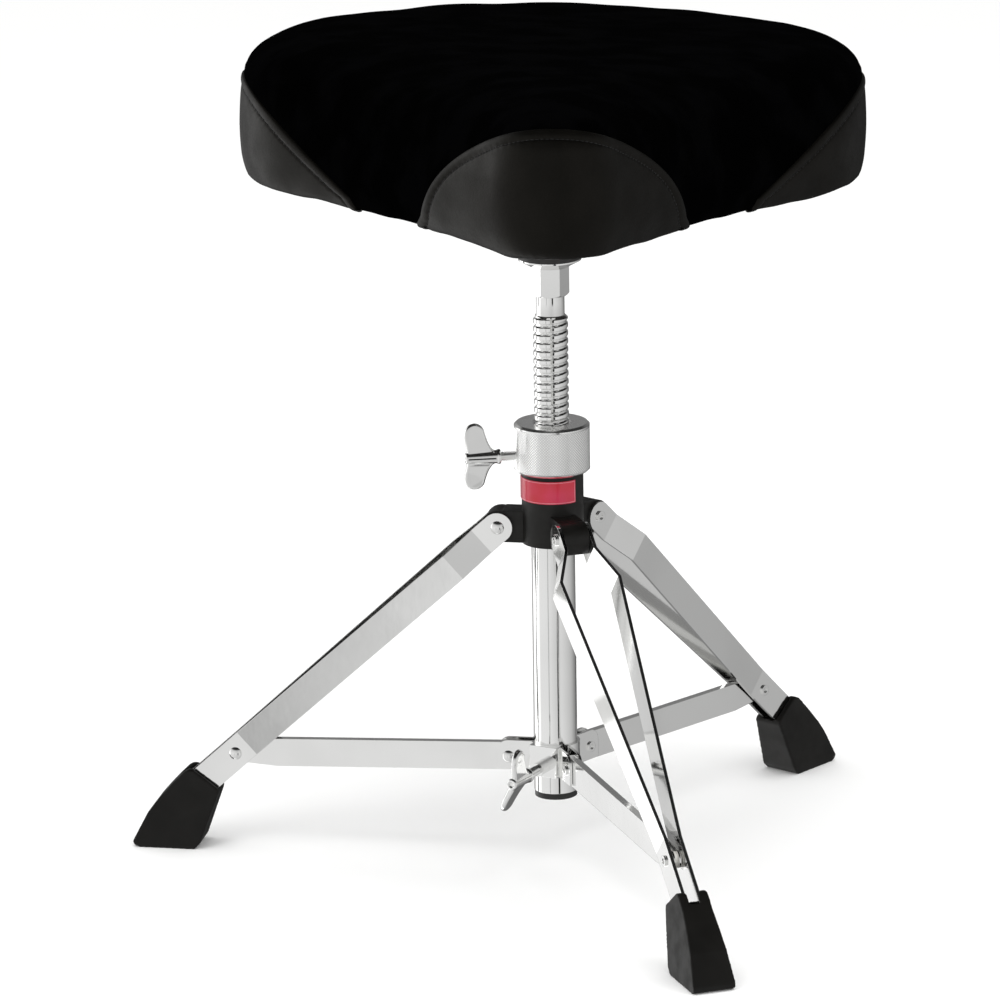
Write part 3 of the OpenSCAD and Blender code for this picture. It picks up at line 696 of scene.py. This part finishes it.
def nose_edge():
    """The nose panel's edge as columns and rows: up one side, over the arch and down the other."""
    half_cols = 110
    region = FORM[FIRST_SIDE:, :half_cols]
    rise = region @ ARCH_UP - ARCH_BASE
    edge = []
    for row in range(WRAP_ROW - FIRST_SIDE, region.shape[0]):
        col = crossing(region[row, :, 0], ARCH_HALF_W)
        if np.interp(col, np.arange(half_cols), rise[row]) > 0 and row > 6:
            break
        edge.append((col, row + FIRST_SIDE))
    for turn in np.linspace(2, 90, 60):
        across = ARCH_HALF_W * math.cos(math.radians(turn)) ** (2 / ARCH_POWER)
        up = ARCH_TOP * math.sin(math.radians(turn)) ** (2 / ARCH_POWER)
        miss = (region[6:-TOP_ROWS // 2, :, 0] - across) ** 2 + (rise[6:-TOP_ROWS // 2] - up) ** 2
        r, c = np.unravel_index(np.argmin(miss), miss.shape)
        col, row = float(c), float(r + 6 + FIRST_SIDE)
        for _ in range(8):
            here, right, above = (sample(FORM, col + a, row + b) for a, b in ((0, 0), (0.5, 0), (0, 0.5)))
            jac = np.array([[(right - here)[0] * 2, (above - here)[0] * 2],
                            [(right - here) @ ARCH_UP * 2, (above - here) @ ARCH_UP * 2]])
            gap = np.array([across - here[0], up - (here @ ARCH_UP - ARCH_BASE)])
            move = np.linalg.solve(jac + np.eye(2) * 1e-6, gap)
            col, row = col + move[0], row + move[1]
        edge.append((max(col, 0.0), row))
    edge = np.array(edge)
    return np.vstack([edge, (edge * [-1, 1])[::-1][1:]])


def side_edge():
    """The right panel's edge: up the flank, over the side and down the back."""
    z = FORM[:, :, 2]
    lean = FORM[:, :, 0] - SEAM_X - SEAM_SLOPE * np.maximum(z - SEAT_LOW - 2.5, 0)
    widest = int(np.argmax(FORM[FIRST_SIDE + 20, :HALF, 0]))
    low_rows = range(WRAP_ROW, FIRST_SIDE + 12)
    front = [(crossing(lean[row, :widest], 0), row) for row in low_rows]
    back = [(widest + crossing(lean[row, widest:HALF], 0), row) for row in low_rows]
    over = []
    for col in range(math.ceil(front[-1][0] + 0.3), math.floor(back[-1][0] - 0.3) + 1):
        over.append((float(col), FIRST_SIDE + 9 + crossing(lean[FIRST_SIDE + 9:, col], 0)))
    return np.array(front + over + back[::-1])


def even_edge(edge, spacing):
    """The same edge with points at an even spacing on the cushion."""
    place = sample(SHAPE, edge[:, 0], edge[:, 1])
    length = running_length(place)
    at = np.linspace(0, length[-1], round(length[-1] / spacing))
    return np.stack([np.interp(at, length, edge[:, k]) for k in (0, 1)], 1), at


# Height of a panel over the cushion, by the distance from its edge: a folded hem, then the stitching
STITCH_AT = 8.0
HEM = [(0, -0.5), (0.25, 0.5), (0.7, 1.15), (1.4, 1.6), (2.4, 1.85), (3.8, 1.95), (5.2, 1.8), (6.4, 1.4),
       (7.2, 0.95), (7.7, 0.6), (8.0, 0.5), (8.3, 0.6), (8.8, 0.9), (9.6, 1.1), (11, 1.2), (13, 1.25),
       (16, 1.25)]
PANEL_BACK = 0.6  # how far the panel's hidden back lies under the cushion's skin


def panel(name, edge, centre_col, replaces):
    """A leatherette panel on the cushion, whose rows follow its edge and close in on a point underneath."""
    edge, along = even_edge(edge, 1.25)
    centre = np.array([centre_col, WRAP_ROW])
    start = sample(SHAPE, edge[:, 0], edge[:, 1])
    near = edge + (centre - edge) * 0.04
    inwards = sample(SHAPE, near[:, 0], near[:, 1]) - start
    speed = np.linalg.norm(inwards, axis=1) / 0.04
    tangent = np.gradient(start, axis=0)
    tangent /= np.linalg.norm(tangent, axis=1, keepdims=True)
    inwards /= np.linalg.norm(inwards, axis=1, keepdims=True)
    slant = np.linalg.norm(np.cross(inwards, tangent), axis=1)
    slant = np.convolve(np.pad(np.clip(slant, 0.45, 1), 6, "edge"), np.ones(13) / 13, "valid")
    last = HEM[-1][0] / (slant * speed)
    rows, heights = [], []
    for distance, height in HEM:
        rows.append(distance / (slant * speed))
        heights.append(height)
    for t in np.linspace(0, 1, 34)[1:]:
        rows.append(last + (1 - last) * t)
        heights.append(HEM[-1][1])
    t = np.array(rows)[:, :, None]
    places = edge[None] + (centre - edge)[None] * t
    base = sample(SHAPE, places[..., 0], places[..., 1])
    normal = sample(NORMALS, places[..., 0], places[..., 1])
    pucker = 0.13 * np.sin(TAU * along / 7.3) + 0.07 * np.sin(TAU * along / 4.1 + 1)
    reach = np.exp(-((np.array([h[0] for h in HEM] + [60.0] * 33) - STITCH_AT) / 2.2) ** 2)
    lift = np.array(heights)[:, None] + reach[:, None] * pucker[None]
    outer = base + normal * lift[..., None]
    inner = base - normal * PANEL_BACK
    points, faces = slab_solid(outer[::-1], inner[::-1])
    piece = add_piece(name, points, faces, "seat", "leatherette", replaces=replaces, sharp=60)
    stitch_row = [h[0] for h in HEM].index(STITCH_AT)
    stitching(name.replace("panel", "stitching"), outer[stitch_row], normal[stitch_row])
    return piece


STITCH_LENGTH, STITCH_PITCH, STITCH_R = 2.7, 3.5, 0.33
# One stitch: the place along it, its share of the radius, and how deep it sinks
STITCH = [(-0.5, 0.25, 0.25), (-0.42, 0.8, 0.05), (-0.2, 1, -0.12), (0.2, 1, -0.12), (0.42, 0.8, 0.05),
          (0.5, 0.25, 0.25)]


def stitching(name, line, normal):
    """Lock stitches sunk in the groove beside a hem."""
    length = running_length(line)
    parts = []
    turn = np.arange(8) * TAU / 8
    for at in np.arange(STITCH_PITCH, length[-1] - STITCH_PITCH, STITCH_PITCH):
        rings = []
        for t, r, sink in STITCH:
            s = at + t * STITCH_LENGTH
            p = np.array([np.interp(s, length, line[:, k]) for k in range(3)])
            q = np.array([np.interp(s + 0.2, length, line[:, k]) for k in range(3)])
            n = np.array([np.interp(s, length, normal[:, k]) for k in range(3)])
            ahead = (q - p) / np.linalg.norm(q - p)
            side = np.cross(ahead, n)
            p = p - n * (sink - 0.1)
            rings.append([p + STITCH_R * r * (math.cos(a) * side + math.sin(a) * n) for a in turn])
        parts.append(ringed_solid(np.array(rings)))
    return add_piece(name, *join(parts), "seat", "leatherette", THREAD, sharp=180)


points, faces = ringed_solid(SHAPE)
cushion = add_piece("seat_cushion", points, faces, "seat", "velour", None, ("seat_cover", "seat_foam"), 180)
panel("nose_panel_skin", nose_edge(), 0.0, ("nose_panel",))
right_edge = side_edge()
middle = (right_edge[0][0] + right_edge[-1][0]) / 2
panel("right_panel_skin", right_edge, middle, ("right_panel",))
panel("left_panel_skin", (right_edge * [-1, 1])[::-1], -middle, ("left_panel",))


STAPLE_INSET = 26.0


def underside():
    """The dust cloth, pulled flat and tacked down, with the staples that hold it and the covers."""
    low, _ = span("dust_cover")
    random = np.random.default_rng(7)
    edge = outline(20.5)
    rows = []
    for t in np.concatenate([np.linspace(0.02, 0.9, 20), [0.94, 0.97, 0.985, 1.0]]):
        ring = CROWN + (edge - CROWN) * t
        x, y = ring.T
        sag = 0.25 * np.sin(x / 17) * np.sin(y / 23 + 1) + 0.12 * np.sin((x + y) / 6)
        rows.append(np.column_stack([ring, low[2] + 0.3 + sag * (1 - t ** 6)]))
    lower = np.array(rows)
    upper = lower + [0, 0, 0.7]
    rings = np.concatenate([upper, lower[::-1]])
    points, faces = ringed_solid(rings)
    add_piece("underside_cloth", askew(points), faces, "seat", "underside_cloth", None, ("dust_cover",), 60)
    line, total = column_length(np.column_stack([outline(STAPLE_INSET), np.zeros(COLS)]))
    parts = []
    for at in np.arange(0, total - 12, 24.0):
        col = np.interp(at, line, np.arange(COLS))
        here = np.array([np.interp(col, np.arange(COLS), outline(STAPLE_INSET)[:, k]) for k in (0, 1)])
        c = int(col)
        angle = math.atan2(COLUMNS[c, 5], COLUMNS[c, 4]) + math.pi / 2 + random.normal(0, 0.16)
        bar = [(-5.6, -0.5), (-5.0, 0.15), (-4.2, 0.35), (4.2, 0.35), (5.0, 0.15), (5.6, -0.5)]
        rings = []
        for x, drop in bar:
            for_ring = []
            for y, z in ((-0.55, 0.25), (0.55, 0.25), (0.55, -0.35), (-0.55, -0.35)):
                px, py = x * math.cos(angle) - y * math.sin(angle), x * math.sin(angle) + y * math.cos(angle)
                for_ring.append((here[0] + px, here[1] + py, SEAT_LOW - 0.75 - drop + z))
            rings.append(for_ring)
        parts.append(ringed_solid(np.array(rings)))
    points, faces = join(parts)
    add_piece("cover_staples", askew(points), faces, "seat", "zinc_fixings", sharp=40)


underside()


# ---------------------------------------------------------------- rod, nut, wing bolts and badge


def thread_depth(phase, flat):
    """0 on the crest and 1 in the root of a thread, with the given share of its pitch as rounded crest."""
    off = np.abs(phase % 1 - 0.5) * 2
    slope = np.clip((off - flat) / (0.88 - flat), 0, 1)
    return 0.12 * off ** 2 + 0.88 * slope * slope * (3 - 2 * slope)


def rod():
    """The right-hand threaded rod with its smooth neck and four lengthwise grooves."""
    low, high = span("threaded_rod")
    major, pitch, depth, neck = high[0], 6.0, 1.45, 10.3
    thread_top = 411.7
    half_groove, floor = 0.75, 10.7
    edge = math.degrees(math.asin(half_groove / major))
    turns = []
    for quarter in range(4):
        groove = (-edge - 0.25, -edge + 0.25, 0, edge - 0.25, edge + 0.25)
        for a in (*groove, *np.linspace(edge + 4, 90 - edge - 4, 18)):
            turns.append(math.radians(a + 90 * quarter + 2))
    turns = np.array(sorted(t % TAU for t in turns))
    plain = [thread_top + 1.3, 425, 440, 455, high[2] - 0.6, high[2]]
    heights = np.concatenate([np.arange(low[2], thread_top + 1.2, 0.5), plain])
    rings = []
    for z in heights:
        r = major - depth * thread_depth(z / pitch - turns / TAU, 0.42)
        envelope = neck + 0.15 + np.clip((thread_top + 0.9 - z) / 2.2, 0, 1) * (major - neck)
        r = np.minimum(r, envelope) if z < thread_top + 1.25 else np.full(len(turns), neck)
        r = np.minimum(r, major - 1.2 * np.clip((low[2] + 1.2 - z) / 1.2, 0, 1))
        if z > high[2] - 0.3:
            r -= 0.5
        off = (turns - math.radians(2) + math.pi / 4) % (math.pi / 2) - math.pi / 4
        inside = np.abs(np.degrees(off)) < edge
        if z < 440:
            r = np.where(inside, np.minimum(r, floor + 1.6 * np.abs(np.degrees(off)) / edge), r)
        rings.append(np.column_stack([r * np.cos(turns), r * np.sin(turns), np.full(len(turns), z)]))
    points, faces = ringed_solid(np.array(rings))
    add_piece("threaded_rod_steel", points, faces, "seat", "chrome_steel", POLISHED, ("threaded_rod",), 38)


def nut():
    """The height nut: two plain bevels, a bored thread and a diamond knurl of cut pyramids."""
    low, high = span("height_nut")
    r_out, bottom, top = high[0], low[2], high[2]
    bore, bevel, pyramid = 12.75, 1.6, 0.3
    cols = 2 * KNURLS
    knurl_low = KNURL_LOW
    knurl_rows = int((top - bevel - 0.5 - knurl_low) / KNURL_ROW) + 1
    knurl_high = knurl_low + (knurl_rows - 1) * KNURL_ROW
    edge_r = r_out - bevel
    ring_list = [(bore + 1.2, bottom), (edge_r - 0.2, bottom), (edge_r, bottom + 0.1),
                 (r_out - 0.15, bottom + bevel - 0.1), (r_out - 0.02, bottom + bevel),
                 (r_out - 0.02, knurl_low - 0.2)]
    first = len(ring_list)
    ring_list += [(r_out, knurl_low + i * KNURL_ROW) for i in range(knurl_rows)]
    after = len(ring_list)
    ring_list += [(r_out - 0.02, knurl_high + 0.2), (r_out - 0.02, top - bevel),
                  (r_out - 0.15, top - bevel + 0.1), (edge_r, top - 0.1), (edge_r - 0.2, top),
                  (bore + 1.3, top), (bore + 1.1, top - 0.1), (bore, top - 1.2), (bore, bottom + 1.2)]
    rings = lathe_rings(ring_list, cols)
    for i in range(first, after):
        for c in range(cols):
            if (i - first + c) % 2 == 0:
                rings[i, c, :2] *= (r_out - pyramid) / r_out
    faces = []
    rows = len(ring_list)
    for r in range(rows):
        s = (r + 1) % rows
        for c in range(cols):
            d = (c + 1) % cols
            a, b, e, f = r * cols + c, r * cols + d, s * cols + d, s * cols + c
            if first <= r < after - 1:
                faces += [[a, b, e], [a, e, f]] if (r - first + c) % 2 == 0 else [[a, b, f], [b, e, f]]
            else:
                faces.append([a, b, e, f])
    points = rings.reshape(-1, 3)
    add_piece("height_nut_knurled", points, faces, "nut", "knurled_chrome", None, ("height_nut",), 26)


def wing_screw(node, name, body, azimuth, start, end):
    """An M6 screw lying outwards along an azimuth, threaded over its whole length."""
    low, high = span(node)
    pitch, major, depth = 1.75, 3.5, 0.8
    places = np.arange(start, end, pitch / 8)
    turns = np.arange(24) * TAU / 24
    middle_z = (low[2] + high[2]) / 2
    rings = []
    for x in places:
        r = major - depth * thread_depth(x / pitch - turns / TAU, 0.12)
        r = np.minimum(r, 2.2 + np.minimum(x - start, end - x) * 1.0)
        rings.append(np.column_stack([np.full(24, x), r * np.cos(turns), r * np.sin(turns)]))
    rings = np.array(rings)
    a = math.radians(azimuth)
    out, across = np.array([math.cos(a), math.sin(a), 0]), np.array([-math.sin(a), math.cos(a), 0])
    placed = rings[..., :1] * out + rings[..., 1:2] * across + rings[..., 2:] * np.array([0, 0, 1.0])
    placed[..., 2] += middle_z
    add_piece(name, *ringed_solid(placed), body, "chrome_steel", POLISHED, (node,), 50)


WING_LEN = 26.0
WING_SWEEP = 0.18  # how steeply the lobes are set back from the hub
WING_HUB = [(0, 0), (0, 4.9), (0.5, 5.5), (2.0, 5.5), (2.6, 4.9), (6, 4.75), (16, 4.4), (25, 4.15),
            (25.8, 3.7), (WING_LEN, 3.0), (WING_LEN, 2.4), (24.9, 1.7), (24.7, 0)]
WING_LOBE = [(2.5, -1), (3.2, 3.6), (6.2, 6.2), (8.8, 10.5), (10.6, 16), (12.2, 21.2), (15.6, 24.1),
             (19.4, 24.6), (23.2, 23.0), (25.9, 19.0), (26.5, 14.0), (25.6, 9.0), (24.8, 4.0), (24.6, -1)]


def wing(node, name, body, azimuth, roll):
    """A cast wing: a solid tapering hub and two rounded lobes, run together as the casting is."""
    turn = np.arange(40) * TAU / 40
    hub = [(x, max(r, 0.05)) for x, r in WING_HUB]
    parts = [ringed_solid(np.array([[(x, r * math.cos(a), r * math.sin(a)) for a in turn] for x, r in hub]))]
    path = smooth_path(WING_LOBE, 0.8)
    middle = np.array([17.0, 12.0])
    ahead = np.gradient(path, axis=0)
    inwards = np.column_stack([ahead[:, 1], -ahead[:, 0]])
    inwards /= np.linalg.norm(inwards, axis=1, keepdims=True)
    inwards *= np.sign(((middle - path) * inwards).sum(1, keepdims=True))
    thick = 2.1 + 0.55 * np.clip(1 - path[:, 1] / 16, 0, 1)
    for side in (1, -1):
        layers = []
        for share, inset in ((-1, 1.3), (-0.8, 0.5), (-0.35, 0.05), (0.35, 0.05), (0.8, 0.5), (1, 1.3)):
            flat = path + inwards * inset
            layers.append(np.column_stack([flat[:, 0], flat[:, 1] * side, share * thick * side]))
        parts.append(ringed_solid(np.array(layers)))
    low, high = span(node)
    points, faces = join(parts)
    a, b = math.radians(azimuth), math.radians(roll)
    out, flat_across = np.array([math.cos(a), math.sin(a), 0]), np.array([-math.sin(a), math.cos(a), 0])
    up = math.cos(b) * flat_across + math.sin(b) * np.array([0, 0, 1.0])
    side = np.cross(out, up)
    centre = (low + high) / 2
    reach = (centre[:2] @ out[:2]) - WING_LEN / 2
    place = out * reach + np.array([0, 0, centre[2]])
    set_back = WING_SWEEP * np.maximum(np.abs(points[:, 1:2]) - 3.5, 0)
    points = place + points[:, :1] * out + points[:, 1:2] * up + (points[:, 2:] + set_back) * side
    mesh = new_mesh(name, points, faces)
    clean_mesh(mesh)
    return fused(mesh, 0.38, 9, name, body, "chrome_steel", POLISHED, (node,))


def boot(leg):
    """A rubber foot with soft edges, moulded shut between the leg's strips, and a rim round its mouth."""
    mesh = nodes[f"{leg}_foot"].data.copy()
    clean_mesh(mesh)
    fused(mesh, 0.9, 7, f"{leg}_foot_boot", f"{leg}_leg", "foot_rubber", None, (f"{leg}_foot",))


def badge():
    """A plain enamelled plate wrapped round the bracket, with a raised pinstripe border."""
    low, high = span("bracket_badge")
    z0, z1 = low[2], high[2]
    r_in, r_out = 22.62, 23.35
    turn_from, turn_to = math.radians(176), math.radians(316)

    def wall(a0, a1, za, zb, r0, r1, steps, soft=0.12):
        turns = np.linspace(a0, a1, steps)
        outer, inner = [], []
        for z, drop in ((za, soft), (za + soft, 0), (zb - soft, 0), (zb, soft)):
            row = []
            for k, a in enumerate(turns):
                end = soft if k in (0, steps - 1) else 0
                row.append(((r1 - max(drop, end)) * math.cos(a), (r1 - max(drop, end)) * math.sin(a), z))
            outer.append(row)
            inner.append([(r0 * math.cos(a), r0 * math.sin(a), z) for a in turns])
        return slab_solid(np.array(outer), np.array(inner))

    points, faces = wall(turn_from, turn_to, z0, z1, r_in, r_out - 0.25, 70)
    add_piece("badge_plate", points, faces, "base", "badge_red", None, ("bracket_badge",), 35)
    edge, line = 0.55, 0.6  # the border's distance from the plate's edge, and its width
    a0, a1, za, zb = turn_from + edge / r_out, turn_to - edge / r_out, z0 + edge, z1 - edge
    strips = [(a0, a1, za, za + line, 70), (a0, a1, zb - line, zb, 70),
              (a1 - line / r_out, a1, za + line, zb - line, 4),
              (a0, a0 + line / r_out, za + line, zb - line, 4)]
    parts = [wall(*where, r_in + 0.3, r_out - 0.1, steps, 0.08) for *where, steps in strips]
    add_piece("badge_border", *join(parts), "base", "badge_red", TRIM, sharp=35)


rod()
nut()
wing_screw("lock_screw", "lock_screw_steel", "lock_bolt", 190, 13.2, 56)
wing_screw("clamp_screw", "clamp_screw_steel", "clamp_bolt", 242, 16.4, 61)
wing("lock_wing", "lock_wing_cast", "lock_handle", 190, 90)
wing("clamp_wing", "clamp_wing_cast", "clamp_handle", 242, 75)
badge()
for leg in LEGS:
    boot(leg)


# ---------------------------------------------------------------- CAD parts that stay

for name, obj in nodes.items():
    if not obj.hide_render:
        slot = obj.data.materials[0].name.split(".")[0]
        obj.data.materials.clear()
        obj.data.materials.append(FINISH[slot])


# ---------------------------------------------------------------- camera, light and floor


def camera():
    """A long lens 4.8 m away, 15 degrees above the horizon, with the throne a little right of the middle."""
    pitch, roll, distance = math.radians(15.06), math.radians(-0.7), 4797.0
    target = np.array([0, 0, 300.0])
    place = target + distance * np.array([0, -math.cos(pitch), math.sin(pitch)])
    right0, up0 = np.array([1.0, 0, 0]), np.array([0, math.sin(pitch), math.cos(pitch)])
    right = math.cos(roll) * right0 + math.sin(roll) * up0
    up = -math.sin(roll) * right0 + math.cos(roll) * up0
    aim = target - 37.8 * right - 25.3 * up
    back = (place - aim) / np.linalg.norm(place - aim)
    across = np.cross(up, back)
    across /= np.linalg.norm(across)
    rise = np.cross(back, across)
    data = bpy.data.cameras.new("camera")
    data.sensor_width, data.lens = 36.0, 238.6
    cam = new_object("camera", data)
    turn = Matrix((across, rise, back)).transposed()
    cam.matrix_world = Matrix.Translation(Vector(place * MM)) @ turn.to_4x4()
    bpy.context.scene.camera = cam


# The studio as it shows in reflections: brightness by azimuth (0 in front, growing to the right), by the
# direction's height, and dark flags round the room, as azimuth, half width and brightness, which fade out
# over FLAG_EDGE and act only in a band of heights
ROOM_GAIN = 2.0
ROOM = [(-180, 0.12), (-160, 0.13), (-142, 0.35), (-130, 0.9), (-120, 1.1), (-98, 0.85), (-80, 0.42),
        (-50, 0.42), (-20, 0.40), (8, 0.34), (35, 0.38), (60, 0.34), (95, 0.27), (120, 0.17), (150, 0.08),
        (165, 0.1), (180, 0.12)]
HEIGHT = [(-1, 0.8), (-0.5, 0.92), (-0.15, 1.0), (0.05, 0.9), (0.35, 0.8), (0.5, 0.5), (0.62, 0.04),
          (1, 0.02)]
FLAGS = [(-110.5, 4.5, 0.02), (-31, 0.8, 0.4), (18, 4.0, 0.01), (158, 5, 0.05)]
FLAG_EDGE = 1.5
FLAG_BAND = [(-1, 0), (-0.62, 0), (-0.45, 1), (-0.14, 1), (-0.04, 0), (1, 0)]


def world():
    """A white studio. Reflections also see its dark flags and the greys between its soft boxes."""
    w = bpy.data.worlds.new("studio")
    bpy.context.scene.world = w
    w.use_nodes = True
    w.node_tree.nodes.clear()
    s = Nodes(w.node_tree)

    def level_at(value, reach, stops):
        """The level at a value, given as stops from -reach to reach."""
        node = s.add("ShaderNodeValToRGB", Fac=value)
        elements = node.color_ramp.elements
        while len(elements) < len(stops):
            elements.new(0.5)
        for element, (at, level) in zip(elements, stops):
            element.position = (at + reach) / (2 * reach)
            element.color = (level, level, level, 1)
        return node.outputs["Color"]

    direction = s.add("ShaderNodeTexCoord").outputs["Generated"]
    x, y, z = s.add("ShaderNodeSeparateXYZ", Vector=direction).outputs
    azimuth = s.math("ARCTAN2", x, s.math("MULTIPLY", y, -1.0))
    share = s.math("ADD", s.math("DIVIDE", azimuth, TAU), 0.5)
    rise = s.math("ADD", s.math("MULTIPLY", z, 0.5), 0.5)
    room = level_at(share, 180, ROOM)
    height = level_at(rise, 1, HEIGHT)
    stops = [(-180, 1.0)]
    for at, half, level in FLAGS:
        stops += [(at - half - FLAG_EDGE, 1.0), (at - half, level)]
        stops += [(at + half, level), (at + half + FLAG_EDGE, 1.0)]
    flags = level_at(share, 180, stops)
    band = level_at(rise, 1, FLAG_BAND)
    dark = s.math("MULTIPLY", band, s.math("SUBTRACT", 1.0, flags))
    level = s.math("MULTIPLY", s.math("MULTIPLY", room, height), s.math("SUBTRACT", 1.0, dark))
    level = s.math("MULTIPLY", level, ROOM_GAIN)
    glossy = s.add("ShaderNodeLightPath").outputs["Is Glossy Ray"]
    background = s.add("ShaderNodeBackground", Color=s.mix(glossy, (1, 1, 1), level))
    s.add("ShaderNodeOutputWorld", Surface=background.outputs[0])


def soft_box(name, place, size, power, target=(0, 0, 0.35)):
    data = bpy.data.lights.new(name, "AREA")
    data.shape, data.size, data.size_y, data.energy = "RECTANGLE", size[0], size[1], power
    lamp = new_object(name, data)
    lamp.location = place
    lamp.rotation_euler = (Vector(target) - Vector(place)).to_track_quat("-Z", "Y").to_euler()
    lamp.visible_camera = False
    lamp.visible_glossy = False
    return lamp


def floor():
    half = 30000
    corners = [(-half, -half, 0), (half, -half, 0), (half, half, 0), (-half, half, 0)]
    mesh = new_mesh("floor", corners, [(0, 1, 2, 3)])
    obj = new_object("floor", mesh)
    mesh.materials.append(FLOOR)
    obj.visible_glossy = False


camera()
world()
floor()
soft_box("top_box", (0.0, -0.3, 2.4), (2.2, 2.2), 26)
soft_box("left_box", (-1.9, -1.6, 1.3), (0.9, 1.6), 10)
soft_box("right_box", (2.0, -1.2, 1.2), (0.8, 1.6), 7)
bpy.context.scene.view_settings.view_transform = "Standard"
